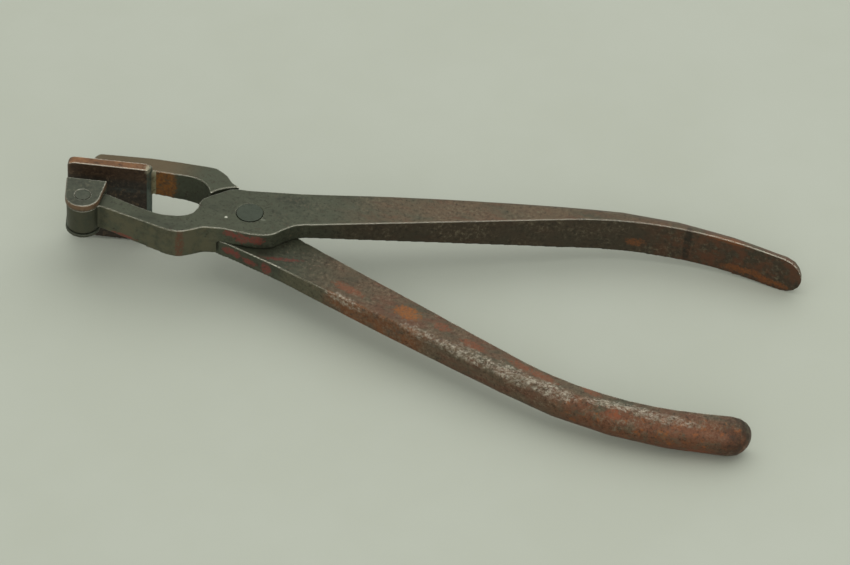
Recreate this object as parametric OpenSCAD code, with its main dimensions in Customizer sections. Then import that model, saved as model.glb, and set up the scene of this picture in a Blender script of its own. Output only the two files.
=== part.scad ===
// Hand pincers with two bowed handles. One jaw carries a tall upright face plate, the other a
// round-backed pad that swivels on a pin, so that its flat face stays level with the plate.
// Origin: centre of the pivot rivet, on the flat underside of the lapped joint.
// +Z runs along the rivet, +X towards the handles, and the plate's jaw lies on the +Y side.
// All sizes are in millimetres and all angles in degrees. The jaws stand a little open.

/* [Lapped joint] */
// Thickness of one lapped lever half
half_t = 5.5; // [4:0.1:8]
// Gap between the two lapped faces
lap_gap = 0.2; // [0.1:0.05:0.6]
// Radius of the curved shoulder seam
seam_r = 11.7; // [10:0.1:14]
// Gap between a shoulder and the rounded lobe of the other lever, when the jaws are closed
seam_gap = 0.3; // [0.2:0.05:1]
// Half width of the levers across the rivet, on the jaw side of the joint
cheek_y = 9; // [7:0.1:12]
// Distance from the rivet to the end of the throat
throat_x = 15; // [13:0.1:20]
// Diameter of the rivet heads, which lie flush with the levers
rivet_head_d = 7.6; // [6:0.1:10]
// Diameter of the rivet shank
rivet_shank_d = 5.4; // [4:0.1:7]
// Depth of the coned rivet head
rivet_head_t = 1.4; // [0.8:0.1:2.4]
// Radial running clearance of rivet and pad pin
run_gap = 0.05; // [0.02:0.01:0.1]

/* [Jaw arms] */
// Half width of the open throat between the arms
throat_y = 8.8; // [6:0.1:14]
// Half width over both arms at their bends
bend_y = 15.2; // [12:0.1:20]
// Distance from the rivet to the arm bends
bend_x = 19; // [17:0.1:26]
// Width of an arm near the jaws
arm_w = 5.3; // [4:0.1:8]
// Height of the arms' underside above the underside of the lower lever, at the bend
arm_rise = 1; // [0:0.1:3]
// Height of the arms' underside above the underside of the lower lever, at the jaws
tip_rise = 2.3; // [0.5:0.1:4]

/* [Face plate] */
// Angle of plate and pad face to the centre line of the joint
face_angle = 10.8; // [0:0.1:20]
// Width of the plate's face along the jaw
plate_w = 23.6; // [16:0.1:32]
// Height of the plate
plate_h = 27.8; // [16:0.1:36]
// Thickness of the plate
plate_t = 3; // [2:0.1:6]
// Height of the plate's top edge above its jaw arm
plate_up = 2.5; // [0:0.1:8]
// Corner radius of the plate's face
plate_corner = 2; // [0.5:0.1:5]
// Radius of the plate's upright edges
plate_edge = 1; // [0.3:0.1:1.6]
// How much longer the plate's back is than its face, where its end slopes
plate_slope = 1.3; // [0:0.1:3]
// Length of plate that stands out past the tip of its jaw
plate_out = 7.3; // [0:0.1:10]
// Leg of the brazed fillet between plate and arm
braze_leg = 0.9; // [0.6:0.1:1.3]

/* [Swivel pad] */
// Distance of the pad pin from the rivet, along the tool
pad_x = 46.8; // [42:0.1:60]
// Distance of the pad pin from the centre line
pad_y = 11.6; // [9:0.1:16]
// Radius of the pad's round back
pad_r = 5.1; // [4.6:0.1:7]
// Half width of the pad's flat face
face_half_w = 5.9; // [4:0.1:8]
// Distance from the pin to the flat face
pad_depth = 7; // [6.6:0.1:10]
// Thickness of the web behind the flat face
web_t = 2; // [1.5:0.1:4]
// Thickness of the pad's upper ear
ear_t = 2.2; // [1.5:0.1:4]
// Thickness of the pad's lower ear
low_ear_t = 1; // [0.8:0.1:4]
// Gap between an ear and the arm
ear_gap = 0.2; // [0.1:0.05:0.6]
// Diameter of the pad pin
pad_pin_d = 4.4; // [3:0.1:6]
// Radius of the eye at the end of the arm
eye_r = 4.8; // [3.4:0.1:5]
// Free space between pad face and plate, as the jaws stand
mouth = 6.2; // [3:0.1:12]

/* [Handles] */
// Length of a handle along its outer edge
handle_l = 144; // [125:0.5:180]
// Straight length of the upper lever's outer edge before the grip bends
near_shank_l = 81.5; // [60:0.5:100]
// Straight length of the lower lever's outer edge before the grip bends
far_shank_l = 86; // [60:0.5:100]
// Straight length of a handle's flat inner face
inner_l = 78; // [60:0.5:100]
// Angle of the shank's outer edge to the centre line
shank_out_angle = 17.4; // [10:0.1:24]
// Angle of the shank's inner edge to the centre line
shank_in_angle = 21.8; // [14:0.1:28]
// Radius of the grips' curves
grip_r = 105; // [80:1:200]
// Angle at which the grip turns back inwards
grip_in_angle = 9.5; // [0:0.1:15]
// Height of the upper lever's grip where it bends
near_grip_h = 11.6; // [8:0.1:16]
// Height of the upper lever's grip at its end
near_end_h = 12.5; // [8:0.1:16]
// Height of the lower lever's grip where it bends
far_grip_h = 9.9; // [8:0.1:16]
// Height of the lower lever's grip at its end
far_end_h = 12.3; // [8:0.1:16]
// How far the underside of the lower lever's grip lies below its joint
far_grip_drop = 1.5; // [0:0.1:4]
// Radius of the outer edges where the handles leave the joint
edge_r = 0.3; // [0.2:0.1:1.5]

/* [Travel] */
// How far the jaws close from the way they stand
close_angle = 5.7; // [2:0.1:8]

/* [Hidden] */
steel = [0.36, 0.33, 0.28];
dark_steel = [0.25, 0.22, 0.18];
brass = [0.62, 0.58, 0.46];
fine = 72;
cut = 40;
half_lap = lap_gap / 2;
slice_t = 0.05;
// Length of a handle's root that keeps the thickness of its lapped half
lap_run = 9;
// Where a handle's own shape begins, and the width that holds it before its inner face is cut
root_l = 2;
root_w = 24;
// Where along the shank its outer edges begin to round, and over what share they become full
round_start = 1 / 3;
round_run = 0.9;

// Seam: one circle, set off from the rivet so that it opens out towards the throat
seam_off = [-3.4, 1.9];
// Where the lobe's round edge runs into the outline of its lever
lobe_end = [-3.7, cheek_y + 0.15];

// Rise, over the length of a cut, of the line past which the lobe follows the seam
lobe_rise = 6.5;
// Share of the cheek's half width at which the cheek turns into the handle's inner face
cheek_turn = 0.36;
// Straight land of a rivet head above its cone
rivet_land = 0.4;
// Angles at which the rounded end of a handle is sliced
end_turns = [25, 45, 62, 76, 86];
// How far the plate stands out past the pad's face, towards the tip
plate_overhang = 1.1;
// How far the tip's back corner is cut off, along and across the plate's arm
tip_cut = [1.4, 1.6];
// Distance along the plate from the tip of the arm's seat to its heel
heel_run = 1.2;
// How much wider the plate's arm is at the plate's end than at its tip
arm_swell = 0.4;
// Free length of arm between the pad and the slope of the arm's underside
pad_run = 1.5;

// Levels, from the lap's middle, and the lift that puts the joint's underside at the origin
lift = [0, 0, half_t];
arm_top = half_t;
eye_bottom = tip_rise - half_t;
ear_top = arm_top + ear_gap + ear_t;
ear_bottom = eye_bottom - ear_gap - low_ear_t;

// Handle curves
handle_root = [12, cheek_y + 4.2];
crotch = [15, -0.3];
grip_arc = grip_r * (shank_out_angle + grip_in_angle) * PI / 180;

// Plate and pad share one turned frame with its origin on the pad pin
plate_front = pad_depth + mouth;
plate_back = plate_front + plate_t;
plate_left = -face_half_w - plate_overhang;
plate_right = plate_left + plate_w;
plate_top = arm_top + plate_up;
jaw_tip = plate_left + plate_out;

function along(p, a, l) = p + l * [cos(a), sin(a)];
function arc_end(p, a, r, turn) = p + r * [sin(a) - sin(a - turn), cos(a - turn) - cos(a)];
function deg(l, r) = l / r * 180 / PI;
function mix(a, b, t) = a + (b - a) * min(1, max(0, t));

// Smooth curve through the points p, with n steps between each two
function knot(p, i) = p[max(0, min(len(p) - 1, i))];
function blend(a, b, c, d, t) = 0.5 * (2 * b + (c - a) * t + (2 * a - 5 * b + 4 * c - d) * t * t
  + (3 * b - a - 3 * c + d) * t * t * t);
function curve(p, n = 5) = concat(
  [for (i = [0 : len(p) - 2], k = [0 : n - 1])
    blend(knot(p, i - 1), p[i], p[i + 1], knot(p, i + 2), k / n)],
  [p[len(p) - 1]]
);

// Heading and point of a handle's outer edge, s millimetres from its root, with a shank of length l
function outer_heading(s, l) = shank_out_angle - deg(min(grip_arc, max(0, s - l)), grip_r);
function outer_point(s, l) =
  let (knee = along(handle_root, shank_out_angle, l))
  let (a = outer_heading(s, l))
  s < l ? along(handle_root, shank_out_angle, s)
  : along(arc_end(knee, shank_out_angle, grip_r, shank_out_angle - a), a, max(0, s - l - grip_arc));

// Points of a handle's flat inner face, from the crotch to past the end
function inner_points() =
  let (knee = along(crotch, shank_in_angle, inner_l))
  let (turn = shank_in_angle + grip_in_angle)
  concat(
    [crotch],
    [for (i = [0 : 12]) arc_end(knee, shank_in_angle, grip_r, turn * i / 12)],
    [along(arc_end(knee, shank_in_angle, grip_r, turn), -grip_in_angle, cut)]
  );

// Outline of a lever's near side, from the handle crotch round the cheek to the shoulder
cheek_edge = [
  crotch + [8, 3.2],
  crotch,
  [11.8, -cheek_y * cheek_turn],
  [8.6, 2 - cheek_y],
  [3, 0.3 - cheek_y],
  [-5, -cheek_y - 0.1]
];
near_shoulder = [
  [-10.2, -cheek_y - 1.3],
  [-13.4, -cheek_y - 3.6],
  [-bend_x + 2.4, -bend_y + 0.6],
  [-bend_x - 1.2, -bend_y + 0.2]
];
far_shoulder = [
  [-8.7, -cheek_y - 1.7],
  [-11.1, -cheek_y - 4.1],
  [-bend_x + 5, -bend_y + 0.5],
  [-bend_x + 1.5, -bend_y]
];
near_throat = [
  [-bend_x - 8, -throat_y - 0.2],
  [-bend_x - 2, -throat_y + 0.3],
  [-throat_x - 2.4, -throat_y + 1.6],
  [-throat_x - 0.4, -throat_y + 3.6]
];
// Where the pad's arm runs into its round eye: outer edge, eye, inner edge
near_arm_end = [
  [-pad_x + eye_r + 1, -pad_y - 0.5],
  [-pad_x, -pad_y],
  [-pad_x + 1, -pad_y + eye_r - 0.2]
];
near_arm_inner = [-pad_x + eye_r + 1.2, -pad_y + eye_r + 0.4];
// How far the arms reach into the joint, past the throat's edge
arm_in_joint = -throat_y + 4.6;
// End of the throat, across the rounded lobe
lobe_edge = [
  [-throat_x + 0.2, -2.6],
  [-throat_x - 0.1, -0.6],
  [-throat_x + 0.4, 1.2],
  [-throat_x + 1.3, 2.6]
];
// The far arm's edge turns in to where the shoulder seam begins
far_throat = [
  [-bend_x - 7, -throat_y + 0.4],
  [-bend_x - 2, -throat_y - 0.2],
  [-throat_x - 2.4, -throat_y + 0.5],
  [-throat_x - 0.3, -throat_y + 1.9],
  [-throat_x + 1.1, -4.9],
  [-throat_x + 3, -2.8]
];

module at_face(x = 0, y = 0) {
  translate([-pad_x, -pad_y, 0]) rotate(face_angle) translate([x, y, 0]) children();
}

function face_point(x, y) = [
  x * cos(face_angle) - y * sin(face_angle) - pad_x,
  x * sin(face_angle) + y * cos(face_angle) - pad_y
];

module seam(gap = 0) {
  translate([seam_off[0], -seam_off[1]]) circle(seam_r - gap, $fn = fine);
}

// One lapped half, drawn for the upper lever: cheek, lobe and root of the handle
module joint_outline(shoulder) {
  difference() {
    polygon(concat(
      curve(cheek_edge),
      [shoulder[0]],
      [near_throat[3]],
      curve(lobe_edge),
      [[2 * lobe_end[0], lobe_end[1]]],
      [lobe_end],
      [handle_root],
      [along(handle_root, shank_out_angle, root_l)]
    ));
    difference() {
      polygon([[0, 0], [-cut, lobe_rise], [-cut, cut], cut / cheek_y * lobe_end]);
      rotate(close_angle) seam(seam_gap);
    }
  }
}

// Round-edged cross-section of a handle with a shank of length l: s millimetres from the root,
// d past the start of the rounded end, with its top at the given level and its height h
module handle_slice(l, s, top, h, r, d = 0) {
  a = outer_heading(s, l);
  q = along(along(outer_point(s, l), a - 90, r), a, d);
  e = sqrt(r * r - d * d);
  for (z = [top - r, top - h + r]) {
    translate([each q, z]) rotate([90, 0, a + 90]) cylinder(h = slice_t, r = e, $fn = 32);
  }
}

// One handle with a shank of length l, whose edge rises to top: outer edges sharp at the joint and
// fully round in the grip, inner face flat
module handle(l, grip_h, end_h, rise = 0) {
  stops = concat([root_l], [for (i = [0 : 8]) mix(lap_run, handle_l, i / 8)]);
  intersection() {
    hull() {
      for (s = stops) {
        fall = (s - lap_run) / (l - lap_run);
        in_grip = (s - l) / (handle_l - l);
        h = s < l ? mix(half_t - half_lap, grip_h, fall) : mix(grip_h, end_h, in_grip);
        r = mix(edge_r, h / 2, (s - l * round_start) / (l * round_run));
        top = half_t + mix(0, rise, fall);
        handle_slice(l, s, top, h, r);
        translate([each along(outer_point(s, l), outer_heading(s, l) - 90, root_w), top - h])
          cube([slice_t, slice_t, h]);
      }
      for (turn = end_turns) {
        handle_slice(l, handle_l, half_t + rise, end_h, end_h / 2, end_h / 2 * sin(turn));
      }
    }
    translate([0, 0, -cut])
      linear_extrude(2 * cut)
        polygon(concat(inner_points(), [[2 * handle_l, 2 * cut], [0, 2 * cut]]));
  }
}

// Height of a jaw arm, seen from the side
module arm_height() {
  translate([0, cut, 0])
    rotate([90, 0, 0])
      linear_extrude(2 * cut)
        polygon([
          [0, arm_top],
          [-2 * cut, arm_top],
          [-2 * cut, eye_bottom],
          [-pad_x + face_half_w + pad_run, eye_bottom],
          [-bend_x, arm_rise - half_t],
          [0, arm_rise - half_t]
        ]);
}

// Coned bore or rivet, the same above and below the joint
module rivet_form(gap = 0) {
  head = rivet_head_d / 2 + gap;
  shank = rivet_shank_d / 2 + gap;
  land = half_t - rivet_land;
  step = half_t - rivet_head_t - gap;
  over = gap > 0 ? 1 : 0;
  rotate_extrude($fn = fine)
    polygon([
      [0, -half_t - over],
      [head, -half_t - over],
      [head, -land],
      [shank, -step],
      [shank, step],
      [head, land],
      [head, half_t + over],
      [0, half_t + over]
    ]);
}

module near_arm_outline() {
  polygon(concat(
    curve(concat([cheek_edge[5]], near_shoulder)),
    near_arm_end,
    curve(concat([near_arm_inner], near_throat)),
    [[-throat_x + 3, arm_in_joint]],
    [[0, arm_in_joint]]
  ));
  translate([-pad_x, -pad_y]) circle(eye_r, $fn = fine);
}

// The far arm is drawn below the centre line like the near one and mirrored
function plate_corner_point() = face_point(plate_right + plate_slope, plate_back);
function far_inner_edge() =
  let (seat = plate_corner_point())
  curve(concat([[seat[0], -seat[1]]], far_throat));
module far_arm_outline() {
  seat_out = face_point(jaw_tip, plate_back);
  heel_x = jaw_tip + heel_run;
  tip = face_point(heel_x - tip_cut[0], plate_back + arm_w - tip_cut[1]);
  heel = face_point(heel_x, plate_back + arm_w);
  back = face_point(plate_right, plate_back + arm_w + arm_swell);
  mirror([0, 1])
    polygon(concat(
      curve(concat([cheek_edge[5]], far_shoulder, [[back[0], -back[1]]])),
      [[heel[0], -heel[1]]],
      [[tip[0], -tip[1]]],
      [[seat_out[0], -seat_out[1]]],
      far_inner_edge(),
      [[0, 0]]
    ));
}

module near_lever() {
  color(steel)
  translate(lift)
  difference() {
    union() {
      translate([0, 0, half_lap])
        linear_extrude(half_t - half_lap)
          joint_outline(near_shoulder);
      handle(near_shank_l, near_grip_h, near_end_h);
      intersection() {
        arm_height();
        difference() {
          translate([0, 0, -cut]) linear_extrude(2 * cut) near_arm_outline();
          translate([0, 0, half_lap - cut]) linear_extrude(cut) mirror([0, 1]) seam();
          translate([0, -cut / 2, half_lap - cut]) cube([cut, cut, cut]);
        }
      }
    }
    rivet_form(run_gap);
    translate([-pad_x, -pad_y, -cut]) cylinder(h = 2 * cut, d = pad_pin_d + 2 * run_gap, $fn = fine);
  }
}

module far_lever() {
  color(steel)
  translate(lift)
  difference() {
    union() {
      rotate([180, 0, 0]) {
        translate([0, 0, half_lap])
          linear_extrude(half_t - half_lap)
            joint_outline(far_shoulder);
        handle(far_shank_l, far_grip_h, far_end_h, far_grip_drop);
      }
      intersection() {
        arm_height();
        difference() {
          translate([0, 0, -cut]) linear_extrude(2 * cut) far_arm_outline();
          translate([0, 0, -half_lap]) linear_extrude(cut) seam();
          translate([0, -cut / 2, -half_lap]) cube([cut, cut, cut]);
        }
      }
    }
    rivet_form();
  }
}

module pivot_rivet() {
  color(dark_steel)
  translate(lift)
    rivet_form();
}

// Upright plate with rounded corners on its face, one rounded upright edge and one sloping end
module jaw_plate() {
  color(dark_steel)
  translate(lift)
  at_face()
  intersection() {
    translate([0, plate_back, 0])
      rotate([90, 0, 0])
        linear_extrude(plate_t)
          panel(plate_left, plate_right + plate_slope, plate_top - plate_h, plate_top, plate_corner);
    translate([0, 0, plate_top - plate_h])
      linear_extrude(plate_h)
        difference() {
          panel(plate_left, plate_right + plate_slope, plate_front, plate_back + plate_edge, plate_edge);
          polygon([
            [plate_right - plate_slope / 2, plate_front - plate_t / 2],
            [plate_right + 2 * plate_slope, plate_front - plate_t / 2],
            [plate_right + 2 * plate_slope, plate_back + plate_t],
            [plate_right + plate_slope, plate_back]
          ]);
        }
  }
}

// Rectangle with four rounded corners
module panel(x0, x1, y0, y1, r) {
  translate([x0 + r, y0]) square([x1 - x0 - 2 * r, y1 - y0]);
  translate([x0, y0 + r]) square([x1 - x0, y1 - y0 - 2 * r]);
  for (x = [x0 + r, x1 - r], y = [y0 + r, y1 - r]) {
    translate([x, y]) circle(r, $fn = fine);
  }
}

// Hollow fillet of brazing metal in the corner between the plate's sloping end and the arm
module braze_fillet() {
  run = far_inner_edge()[1] - far_inner_edge()[0];
  arm_heading = atan2(-run[1], run[0]);
  lean = atan(plate_slope / plate_t);
  corner = arm_heading - face_angle + 90 + lean;
  hollow_r = braze_leg * tan(corner / 2);
  color(brass)
  translate(lift)
  translate([each plate_corner_point(), eye_bottom])
    rotate(arm_heading)
      linear_extrude(arm_top - eye_bottom)
        difference() {
          polygon([[0, 0], [braze_leg, 0], along([0, 0], -corner, braze_leg)]);
          translate([braze_leg, -hollow_r]) circle(hollow_r, $fn = fine);
        }
}

// Outline of the pad: flat face, straight flanks and round back
module pad_outline() {
  circle(pad_r, $fn = fine);
  polygon([
    [-pad_r, 0],
    [pad_r, 0],
    [face_half_w, pad_depth],
    [-face_half_w, pad_depth]
  ]);
}

module swivel_pad() {
  color(steel)
  translate(lift)
  at_face()
  difference() {
    translate([0, 0, ear_bottom]) linear_extrude(ear_top - ear_bottom) pad_outline();
    translate([-cut / 2, -cut + pad_depth - web_t, ear_bottom + low_ear_t])
      cube([cut, cut, ear_top - ear_t - ear_bottom - low_ear_t]);
    translate([0, 0, ear_bottom - 1]) cylinder(h = ear_top - ear_bottom + 2, d = pad_pin_d, $fn = fine);
  }
}

module pad_pin() {
  color(dark_steel)
  translate(lift)
  at_face()
    translate([0, 0, ear_bottom]) cylinder(h = ear_top - ear_bottom, d = pad_pin_d, $fn = fine);
}

near_lever();
far_lever();
pivot_rivet();
jaw_plate();
braze_fillet();
swivel_pad();
pad_pin();
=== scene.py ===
"""Looks of a pair of hand pincers: worn forged steel with rust, traces of red paint and bright edges."""

import math

import bpy
from mathutils import Matrix, Vector


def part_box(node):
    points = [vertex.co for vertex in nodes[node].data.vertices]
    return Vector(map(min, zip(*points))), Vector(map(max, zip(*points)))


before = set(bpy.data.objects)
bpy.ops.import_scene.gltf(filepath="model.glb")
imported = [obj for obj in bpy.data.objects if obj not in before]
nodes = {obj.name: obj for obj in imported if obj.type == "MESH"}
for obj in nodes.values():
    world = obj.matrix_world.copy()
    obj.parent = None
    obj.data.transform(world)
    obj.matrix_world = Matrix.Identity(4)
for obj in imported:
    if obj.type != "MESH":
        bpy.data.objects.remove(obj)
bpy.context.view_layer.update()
scene = bpy.context.scene

MM = 0.001


def mm(*values):
    """A point or size given in millimetres, as a vector in metres."""
    return Vector(values) * MM


def srgb(code):
    """An sRGB hex colour as the linear colour that a shader takes."""
    channels = [int(code[i:i + 2], 16) / 255 for i in (0, 2, 4)]
    linear = [c / 12.92 if c <= 0.04045 else ((c + 0.055) / 1.055) ** 2.4 for c in channels]
    return (*linear, 1.0)


def add(tree, kind, inputs=None, **settings):
    """Adds one node to tree. A value in inputs is set, and a socket in inputs is linked."""
    made = tree.nodes.new(kind)
    for name, value in settings.items():
        setattr(made, name, value)
    for key, value in (inputs or {}).items():
        if isinstance(value, bpy.types.NodeSocket):
            tree.links.new(value, made.inputs[key])
        else:
            made.inputs[key].default_value = value
    return made


class Finish:
    """One material while it is built up, as a base colour with layers laid over it."""

    def __init__(self, name, base):
        self.material = bpy.data.materials.new(name)
        self.material.use_nodes = True
        self.tree = self.material.node_tree
        self.tree.nodes.clear()
        self.place = add(self.tree, "ShaderNodeTexCoord").outputs["Object"]
        self.colour = add(self.tree, "ShaderNodeRGB").outputs[0]
        self.colour.default_value = srgb(base)

    def noise(self, size_mm, detail=4.0, rough=0.7, stretch=(1, 1, 1)):
        """Noise whose blotches are about size_mm across, longer by stretch along each axis."""
        spread = add(self.tree, "ShaderNodeMapping", {
            "Vector": self.place,
            "Scale": [1 / (size_mm * MM * s) for s in stretch],
        })
        return add(self.tree, "ShaderNodeTexNoise", {
            "Vector": spread.outputs[0], "Scale": 1.0, "Detail": detail, "Roughness": rough,
        }).outputs["Fac"]

    def ramp(self, value, low, high):
        """0 at low and 1 at high, smooth between. Low may be the higher number."""
        if low > high:
            return self.math("SUBTRACT", 1.0, self.ramp(value, high, low))
        return add(self.tree, "ShaderNodeMapRange", {
            "Value": value, "From Min": low, "From Max": high,
        }, interpolation_type="SMOOTHSTEP").outputs[0]

    def blotches(self, size_mm, low, high, stretch=(1, 1, 1)):
        """Noise turned into patches with a soft rim."""
        return self.ramp(self.noise(size_mm, stretch=stretch), low, high)

    def math(self, operation, a, b):
        return add(self.tree, "ShaderNodeMath", {0: a, 1: b}, operation=operation).outputs[0]

    def times(self, *values):
        product = values[0]
        for value in values[1:]:
            product = self.math("MULTIPLY", product, value)
        return product

    def along(self, axis, low_mm, high_mm):
        """Rises from 0 to 1 between two places on an axis."""
        place = add(self.tree, "ShaderNodeSeparateXYZ", {0: self.place}).outputs[axis]
        return self.ramp(place, low_mm * MM, high_mm * MM)

    def turn_from(self, direction):
        """Cosine of the angle between the surface and a direction."""
        normal = add(self.tree, "ShaderNodeNewGeometry").outputs["Normal"]
        inputs = {0: normal, 1: direction}
        return add(self.tree, "ShaderNodeVectorMath", inputs, operation="DOT_PRODUCT").outputs["Value"]

    def facing(self, direction, low=0.3, high=0.8):
        return self.ramp(self.turn_from(direction), low, high)

    def edges(self, radius_mm, low, high):
        """Edges, found by how far a rounded normal turns from the true one."""
        rounded = add(self.tree, "ShaderNodeBevel", {"Radius": radius_mm * MM}, samples=6).outputs[0]
        return self.ramp(self.turn_from(rounded), 1 - low, 1 - high)

    def mark(self, centre, radii, turn=0.0, ragged=0.9, grain_mm=1.1):
        """A mottled blotch: an ellipsoid in mm, turned about Z, its rim broken by noise."""
        local = add(self.tree, "ShaderNodeMapping", {
            "Vector": self.place,
            "Location": mm(*centre),
            "Rotation": (0, 0, math.radians(turn)),
            "Scale": mm(*radii),
        }, vector_type="TEXTURE").outputs[0]
        reach = add(self.tree, "ShaderNodeVectorMath", {0: local}, operation="LENGTH").outputs["Value"]
        inputs = {0: self.noise(grain_mm), 1: ragged * 2, 2: -ragged}
        broken = add(self.tree, "ShaderNodeMath", inputs, operation="MULTIPLY_ADD").outputs[0]
        spot = self.ramp(self.math("ADD", reach, broken), 1.1, 0.6)
        return self.times(spot, self.blotches(grain_mm * 0.7, 0.25, 0.62))

    def layer(self, code, *masks):
        """Lays a colour over what is there, as far as the masks say."""
        self.colour = add(self.tree, "ShaderNodeMix", {
            "Factor": self.times(*masks), 6: self.colour, 7: srgb(code),
        }, data_type="RGBA").outputs[2]

    def marks(self, code, places, *masks, ragged=0.9, grain_mm=1.1):
        """Lays one colour on a list of places, each a centre, radii and perhaps a turn."""
        for place in places:
            self.layer(code, self.mark(*place, ragged=ragged, grain_mm=grain_mm), *masks)

    def grit(self, dark, light, where=1.0):
        """Dark grains of old oxide about 1 mm across, and light ones in blotches where said."""
        fine = self.noise(1.1, 5, 0.8)
        self.layer(dark, self.ramp(fine, 0.5, 0.32), 0.9)
        self.layer(light, self.ramp(fine, 0.5, 0.66), self.blotches(8, 0.35, 0.65, (2, 1, 1)), where)

    def bump(self, size_mm, depth_mm, under=None):
        """Unevenness of a size and depth, laid over another bump."""
        inputs = {"Height": self.noise(size_mm), "Strength": 1.0, "Distance": depth_mm * MM}
        if under is not None:
            inputs["Normal"] = under
        return add(self.tree, "ShaderNodeBump", inputs).outputs[0]

    def close(self, metallic, smoothest, roughest, normal, grain_mm=1.5):
        """Ends the material with its shader. Its roughness wanders over grain_mm."""
        rough = add(self.tree, "ShaderNodeMapRange", {
            "Value": self.noise(grain_mm), "To Min": smoothest, "To Max": roughest,
        }).outputs[0]
        shader = add(self.tree, "ShaderNodeBsdfPrincipled", {
            "Base Color": self.colour, "Metallic": metallic, "Roughness": rough, "Normal": normal,
        })
        add(self.tree, "ShaderNodeOutputMaterial", {"Surface": shader.outputs[0]})
        return self.material


UP = (0, 0, 1)
NEAR = (0, -1, 0)
RIGHT = (1, 0, 0)

PATINA = "484b3d"
PATINA_DARK = "31342a"
PATINA_LIGHT = "5b5c4f"
BROWN_OXIDE = "624f3e"
RED_OXIDE = "633e2e"
DARK_OXIDE = "30241c"
# Painted shade for the upper handle's near-facing side
PAINTED_SHADE_BROWN = "3a3126"
GREENISH_BROWN = "5b5643"
RUST = "8a4f26"
DEEP_RUST = "6b401d"
BRIGHT_RUST = "8f5526"
RED_RUST = "85482f"
SIDE_RUST = "75492c"
GRIP_BROWN = "6c422d"
RED_PAINT = "7c3a33"
COPPER_BROWN = "8a5f3e"
# Pale: bare rubbed steel and a painted sheen
BARE_STEEL_AND_SHEEN = "b0a698"
# Near-white: bare worn edge with a painted highlight
EDGE_STEEL_AND_HIGHLIGHT = "fff8ea"

# Marks on the levers, as read from the photograph: centre and radii in mm, and a turn in degrees
UPPER_GRIP_RUST = [
    ((137, 35.6, 1.1), (4.5, 3, 1.4)),
    ((142, 35, 1.6), (4.5, 3, 1.2)),
    ((147, 34.3, 0.6), (4, 3, 1.4)),
    ((150.5, 33.6, 0.7), (3, 3, 1.2)),
    ((107, 34.4, 3.3), (3, 3, 1.6)),
    ((134, 35.8, 10.4), (7, 2, 0.8)),
]
UPPER_GRIP_BAND = [((122, 36, 6), (1.3, 3, 9))]
ARM_BAND = [((-16.4, -14.4, 5.5), (1.4, 3, 6.5))]
CHEEK_PAINT = [
    ((-3, -9, 9.5), (2.2, 2, 1.3)),
    ((0.6, -9, 8.6), (2.6, 2, 1.9)),
    ((4.6, -8.4, 8.6), (3, 2, 1.7)),
    ((-34, -13, 2.6), (4, 2, 0.8)),
]
JOINT_SPECK = [((-5.8, -4.1, 11), (0.5, 0.5, 0.6))]
JOINT_SMUDGE = [((4.6, -1.6, 11), (0.9, 0.5, 0.6))]
ORANGE_SPOT = [((54, -20.7, 7), (4.6, 2.7, 2), -18)]
LOWER_TOP_RUST = [
    ((35, -16.2, 6.3), (6, 1.6, 2), -20),
    ((64.5, -23.2, 7.4), (3.2, 1.7, 2), -20),
    ((75, -27.8, 7.8), (4.5, 1.5, 2), -20),
    ((90, -32, 8.3), (4.5, 1.4, 2), -20),
    ((97, -34.2, 8.6), (5, 1.3, 2), -20),
    ((111, -36, 9.1), (3.5, 1.1, 2), -20),
]
LOWER_GRIP_RUST = [((119, -41.6, 8), (2.4, 2, 1.2)), ((144, -42, 1), (6, 3, 2))]
LOWER_SIDE_PAINT = [
    ((-3.3, -9.2, 3.2), (2, 2, 1.5)),
    ((-0.8, -9.9, 2.9), (2.4, 2, 1.6)),
    ((3.5, -11, 2.2), (2.8, 2, 1.3)),
    ((9.2, -12.5, 2.4), (1.9, 2, 2.4)),
]
PAINT_STREAK = [((13, -9.9, 5.4), (6.5, 0.8, 1), 11)]
# Bare rubbed metal and painted sheen along the lower handle's ridge
RUBBED_AND_SHEEN_STRONG = [
    ((35.5, -20.3, 5), (7.5, 1.6, 1.7), -17),
    ((74, -31.4, 7.4), (10, 2.4, 2.4), -17),
    ((88, -35.2, 7.6), (9, 2.6, 2.4), -16),
    ((100, -38, 8.2), (9, 2.6, 2.2), -12),
    ((119, -38.9, 9.2), (12, 1.5, 1.5), 1),
]
RUBBED_AND_SHEEN_WEAK = [((60, -27.5, 6.6), (8, 1.8, 2), -17), ((133, -39.8, 9.5), (10, 1.8, 1.5), 3)]
JAW_WALL_RUST = ((-29, 8, 7), (4.2, 2.4, 8))
# Painted reflection of the near arm in the plate's face
PLATE_REFLECTION_STREAK = [((-38, 3, 5), (7, 3, 0.9), 11)]
# Painted highlight on the plate's top right corner
PLATE_CORNER_HIGHLIGHT = [((-33, 5.6, 13), (1.3, 1.6, 1.6))]


def forged_steel(name, brown_from, brown_to):
    """Forged steel left to darken: thin grey-green patina, then brown hand-rubbed oxide on the handle.

    The blotches are 5 to 14 mm across and longer along the handle, the oxide pits about 2 mm.
    """
    steel = Finish(name, PATINA)
    steel.layer(PATINA_DARK, steel.blotches(14, 0.45, 0.75, (2, 1, 1)))
    steel.layer(PATINA_LIGHT, steel.blotches(5, 0.55, 0.85))
    brown = steel.along("X", brown_from, brown_to)
    steel.layer(BROWN_OXIDE, brown, steel.blotches(9, 0.25, 0.6, (1.8, 1, 1)), 0.9)
    steel.layer(RED_OXIDE, brown, steel.blotches(4, 0.5, 0.7, (2.5, 1, 1)), 0.6)
    steel.layer(DARK_OXIDE, steel.blotches(2.2, 0.54, 0.72), 0.7)
    return steel


def uneven(steel):
    """Forging unevenness 6 mm wide, and pits of 0.9 mm, drawn coarser than real to show at all."""
    return steel.bump(0.9, 0.035, steel.bump(6, 0.18))


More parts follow.
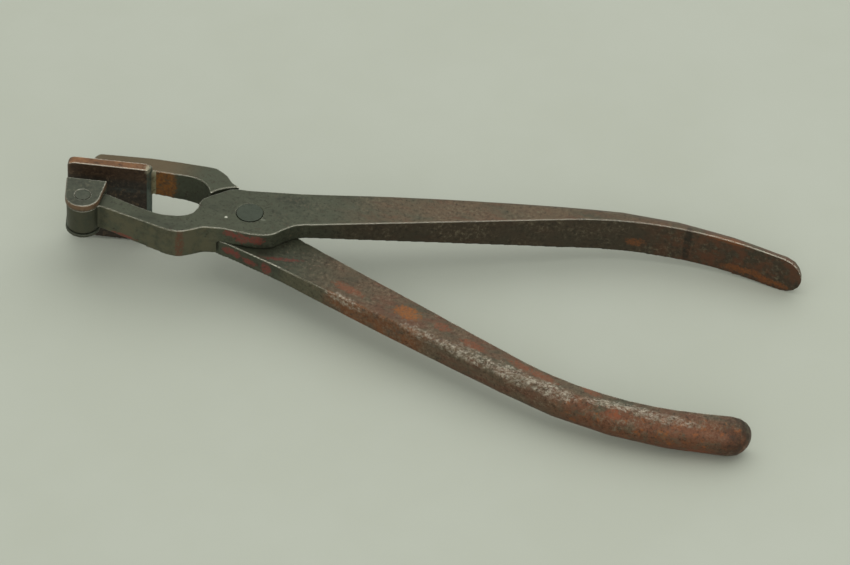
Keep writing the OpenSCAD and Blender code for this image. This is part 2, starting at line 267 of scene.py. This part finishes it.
def wear_and_edge_highlight(steel, where=1.0):
    """Upper edges rubbed down to bare metal, 0.5 mm wide and broken where the patina holds, painted
    near-white as a highlight where they face up.
    """
    upward = steel.facing(UP, 0.1, 0.45)
    steel.layer(EDGE_STEEL_AND_HIGHLIGHT, steel.edges(0.5, 0.006, 0.05), upward, steel.blotches(3, 0.2, 0.45), where)


def close_steel(steel):
    """Half-bare steel: the oxide makes it less of a mirror than clean metal, roughness 0.36 to 0.62."""
    return steel.close(0.55, 0.36, 0.62, uneven(steel))


def upper_lever_steel():
    steel = forged_steel("forged steel, upper lever", 12, 50)
    inner = steel.facing(NEAR)
    # Painted shade: dark brown on the handle's near-facing side, from x = 16 mm on
    steel.layer(PAINTED_SHADE_BROWN, inner, steel.along("X", 16, 34), 0.8)
    steel.grit("2a261e", "6f6553", steel.along("X", -25, 45))
    side = steel.facing(NEAR, 0.2, 0.6)
    steel.layer(GREENISH_BROWN, side, steel.along("X", -4, -10), steel.blotches(3, 0.3, 0.6), 0.85)
    steel.layer(PATINA_DARK, steel.along("X", -38, -43), 0.6)
    grip = steel.times(steel.along("X", 100, 128), steel.blotches(4, 0.38, 0.62))
    steel.layer("5c3a28", grip, inner, 0.9)
    steel.layer(RED_OXIDE, grip, steel.facing(UP), 0.75)
    steel.marks(RUST, UPPER_GRIP_RUST, 0.6, ragged=1.1, grain_mm=0.8)
    steel.marks("1f1a15", UPPER_GRIP_BAND, 0.7, ragged=0.4, grain_mm=1.6)
    steel.marks(RED_PAINT, CHEEK_PAINT, side, 0.85)
    steel.marks(RED_OXIDE, ARM_BAND, side, 0.8, ragged=0.6)
    wear_and_edge_highlight(steel)
    steel.marks("d8d6cb", JOINT_SPECK, 1.0, ragged=0.3, grain_mm=0.4)
    steel.marks("7d7f73", JOINT_SMUDGE, 0.6, ragged=0.5, grain_mm=0.5)
    return close_steel(steel)


def rust_lower_sides(steel):
    """The outer side goes from green-grey to rust at 27 mm, and is redder again on the grip."""
    outer = steel.facing(NEAR, 0.05, 0.5)
    patchy = steel.blotches(3.5, 0.34, 0.56)
    steel.layer(GREENISH_BROWN, outer, steel.along("X", 12, 16), steel.along("X", 30, 27), 0.6)
    steel.layer(SIDE_RUST, outer, steel.along("X", 27, 31), steel.along("X", 64, 56), patchy, 0.95)
    grip = steel.along("X", 92, 112)
    steel.layer(GRIP_BROWN, grip, outer, patchy, 0.9)
    steel.grit("33271e", "7a6958", steel.along("X", -5, 35))
    steel.layer(RUST, grip, outer, steel.blotches(2, 0.55, 0.68), 0.7)
    steel.marks(RED_RUST, LOWER_GRIP_RUST, 0.8)


def rub_ridge_and_sheen(steel):
    """The ridge that the hand rubs: bare metal in grains of 0.8 mm, painted bright as a sheen along the
    top of the rounded side.
    """
    grains = steel.ramp(steel.noise(0.8, 5, 0.85, (1.6, 1, 1)), 0.43, 0.6)
    steel.marks(BARE_STEEL_AND_SHEEN, RUBBED_AND_SHEEN_STRONG, grains, 0.9, ragged=0.8, grain_mm=1.6)
    steel.marks(BARE_STEEL_AND_SHEEN, RUBBED_AND_SHEEN_WEAK, grains, 0.6, ragged=0.8, grain_mm=1.6)


def rust_jaw_wall(steel):
    """Orange rust on the inner wall of the plate's arm, mottled over 1 mm."""
    wall = steel.times(steel.facing(NEAR), steel.mark(*JAW_WALL_RUST, ragged=0.4))
    steel.layer(DEEP_RUST, wall, 0.9)
    steel.layer("95602c", wall, steel.blotches(1.2, 0.3, 0.6), 0.8)


def lower_lever_steel():
    steel = forged_steel("forged steel, lower lever", 14, 40)
    top = steel.facing(UP, 0.8, 0.98)
    steel.layer(RED_OXIDE, steel.along("X", 24, 42), steel.blotches(5, 0.46, 0.66, (2.2, 1, 1)), 0.7)
    rust_lower_sides(steel)
    steel.marks(BRIGHT_RUST, ORANGE_SPOT, 0.85)
    steel.marks(RED_RUST, LOWER_TOP_RUST, 0.55)
    steel.layer(DARK_OXIDE, steel.along("X", 145, 155), steel.blotches(3, 0.3, 0.6), 0.8)
    rub_ridge_and_sheen(steel)
    steel.marks(RED_PAINT, LOWER_SIDE_PAINT, steel.facing(NEAR, 0.2, 0.6), 0.9)
    steel.marks("6d3731", PAINT_STREAK, top, 0.8)
    rust_jaw_wall(steel)
    steel.layer("68553f", steel.along("X", -16, -30), top, 0.7)
    wear_and_edge_highlight(steel)
    return close_steel(steel)


def plate_steel():
    """Steel gone dark brown from heat, its top rubbed to copper brown. Painted light on it: shade low on
    its face, a reflection across the face, a blue-green highlight on its end and a highlight on its
    corner.
    """
    steel = Finish("heat-browned steel, plate", "38302a")
    steel.layer("2b2926", steel.blotches(10, 0.45, 0.7))
    # Painted shade and light: the face lighter brown near its top and dark lower down, where the arm
    # shades it
    steel.layer("4a3526", steel.along("Z", 7.5, 10), 0.8)
    # Painted reflection: a grey streak across the face, the near arm seen in it
    steel.marks("4b4f4c", PLATE_REFLECTION_STREAK, 0.5)
    top = steel.facing(UP, 0.4, 0.8)
    steel.layer("6f4a30", top, 0.95)
    steel.layer(COPPER_BROWN, top, steel.blotches(3, 0.45, 0.7))
    # Painted highlight: the right end lighter blue-green, where it catches the light
    steel.layer("53645c", steel.facing(RIGHT, 0.3, 0.7), 0.8)
    steel.grit("241d17", "6b5645")
    wear_and_edge_highlight(steel)
    # Painted highlight: a pale grey glint on the top right corner
    steel.marks("a39c88", PLATE_CORNER_HIGHLIGHT, 0.85, ragged=0.6, grain_mm=0.8)
    return steel.close(0.5, 0.35, 0.55, uneven(steel))


def pad_steel():
    """Steel with a grey-green patina, coppery on the rounded rim under its bright edge."""
    steel = Finish("patinated steel, pad", "42453a")
    steel.layer("3d3f35", steel.blotches(6, 0.45, 0.7))
    rim = steel.facing(UP, 0.9, 0.5)
    steel.layer("7a5a42", rim, steel.along("Z", 10.2, 12.6), 0.8)
    steel.layer("3f4035", rim, steel.along("Z", 10.4, 8.8), 0.7)
    steel.grit("2c2a22", "6a6455")
    wear_and_edge_highlight(steel, steel.along("Z", 8, 10))
    return steel.close(0.5, 0.38, 0.6, uneven(steel))


def rivet_steel(name, base):
    """A rivet end filed flush: bluish grey steel with a dark, broken joint line round it."""
    steel = Finish(name, base)
    steel.layer("3a4036", steel.blotches(3, 0.45, 0.7))
    steel.grit("31352c", "525849")
    steel.layer("30332c", steel.edges(0.2, 0.01, 0.1), steel.blotches(2.5, 0.42, 0.58), 0.8)
    return steel.close(0.55, 0.4, 0.6, uneven(steel))


def brazing_metal():
    """Dull brass run into the corner: pale yellow-grey, lumpy over about 1 mm."""
    brass = Finish("brazing brass, dull", "8d8468")
    brass.layer("5d5643", brass.blotches(1.5, 0.45, 0.7))
    # Painted highlight: the brass pale towards its top, from z = 8.5 to 11 mm
    brass.layer("b8b09a", brass.along("Z", 8.5, 11), 0.8)
    return brass.close(0.7, 0.35, 0.55, brass.bump(1, 0.15))


def dress(name, material):
    """Gives a CAD node its material. Its doubled corners are welded for smooth shading."""
    piece = nodes[name]
    piece.data.materials.clear()
    piece.data.materials.append(material)
    weld = piece.modifiers.new("weld", "WELD")
    weld.merge_threshold = 0.001 * MM
    return piece


def round_off(piece, voxel_mm, dent_mm):
    """Rounds the edges by about a voxel and dents the faces inwards, as hand work does."""
    skin = piece.modifiers.new("skin", "REMESH")
    skin.mode = "VOXEL"
    skin.voxel_size = voxel_mm * MM
    skin.use_smooth_shade = True
    soften = piece.modifiers.new("soften", "SMOOTH")
    soften.factor = 0.5
    soften.iterations = 3
    dents = bpy.data.textures.new(piece.name + " dents", "CLOUDS")
    dents.noise_scale = 9 * MM
    dents.noise_depth = 1
    hammer = piece.modifiers.new("dents", "DISPLACE")
    hammer.texture = dents
    hammer.texture_coords = "LOCAL"
    hammer.mid_level = 1.0
    hammer.strength = dent_mm * MM


def table_top():
    """Plain pale card that touches the plate's lower edge and the near lever's handle end."""
    plate_low, plate_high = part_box("jaw_plate")
    handle_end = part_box("near_lever")[1].x
    grip = [v.co.z for v in nodes["near_lever"].data.vertices if v.co.x > handle_end - 20 * MM]
    heel = Vector((plate_high.x - 2 * MM, 0, plate_low.z))
    tip = Vector((handle_end - 8 * MM, 0, min(grip)))
    half = 3.0
    mesh = bpy.data.meshes.new("table_top")
    corners = [(-half, -half, 0), (half, -half, 0), (half, half, 0), (-half, half, 0)]
    mesh.from_pydata(corners, [], [(0, 1, 2, 3)])
    table = bpy.data.objects.new("table_top", mesh)
    scene.collection.objects.link(table)
    table.location = heel - mm(0, 0, 0.05)
    table.rotation_euler.y = -math.atan2(tip.z - heel.z, tip.x - heel.x)
    card = Finish("matt card, pale grey-green", "b8bab2")
    card.layer("b5b7ae", card.blotches(120, 0.35, 0.65))
    mesh.materials.append(card.close(0.0, 0.75, 0.85, card.bump(1.5, 0.02), 40))


def area_light(name, place, size, power, colour):
    """A round soft light that looks at the middle of the tool."""
    light = bpy.data.lights.new(name, "AREA")
    light.shape = "DISK"
    light.size = size
    light.energy = power
    light.color = colour
    lamp = bpy.data.objects.new(name, light)
    lamp.location = place
    lamp.rotation_mode = "QUATERNION"
    lamp.rotation_quaternion = (mm(50, 0, 0) - lamp.location).to_track_quat("-Z", "Y")
    scene.collection.objects.link(lamp)


def studio():
    """Large soft light from behind and above, a weaker one in front and pale light all round."""
    area_light("key", (0.15, 0.45, 1.3), 2.2, 7.0, (1.0, 0.99, 0.965))
    area_light("front", (0.5, -1.3, 0.8), 1.2, 4.5, (1.0, 0.99, 0.97))
    world = bpy.data.worlds.new("studio")
    world.use_nodes = True
    sky = world.node_tree.nodes["Background"]
    sky.inputs["Color"].default_value = srgb("c9cec4")
    sky.inputs["Strength"].default_value = 1.22
    scene.world = world
    scene.view_settings.view_transform = "Standard"


# Camera: a long lens, above and in front, as the photograph was taken
LENS_MM = 140.45
SENSOR_MM = 36
CAMERA_AT = mm(214.7, -680.8, 648.7)
CAMERA_RIGHT = Vector((0.957958, 0.281213, 0.056881))
CAMERA_AHEAD = Vector((-0.16915, 0.7137, -0.679721))


def photo_camera():
    lens = bpy.data.cameras.new("camera")
    lens.lens = LENS_MM
    lens.sensor_width = SENSOR_MM
    lens.sensor_fit = "HORIZONTAL"
    lens.clip_end = 10
    camera = bpy.data.objects.new("camera", lens)
    up = CAMERA_RIGHT.cross(CAMERA_AHEAD)
    turn = Matrix((CAMERA_RIGHT, up, -CAMERA_AHEAD)).transposed()
    camera.matrix_world = Matrix.Translation(CAMERA_AT) @ turn.to_4x4()
    scene.collection.objects.link(camera)
    scene.camera = camera


round_off(dress("near_lever", upper_lever_steel()), voxel_mm=0.3, dent_mm=0.12)
round_off(dress("far_lever", lower_lever_steel()), voxel_mm=0.3, dent_mm=0.12)
round_off(dress("jaw_plate", plate_steel()), voxel_mm=0.25, dent_mm=0.06)
round_off(dress("swivel_pad", pad_steel()), voxel_mm=0.22, dent_mm=0.05)
dress("pivot_rivet", rivet_steel("filed steel, rivet", "3f453b"))
dress("pad_pin", rivet_steel("filed steel, pin", "4a4c42"))
dress("braze_fillet", brazing_metal())
table_top()
studio()
photo_camera()
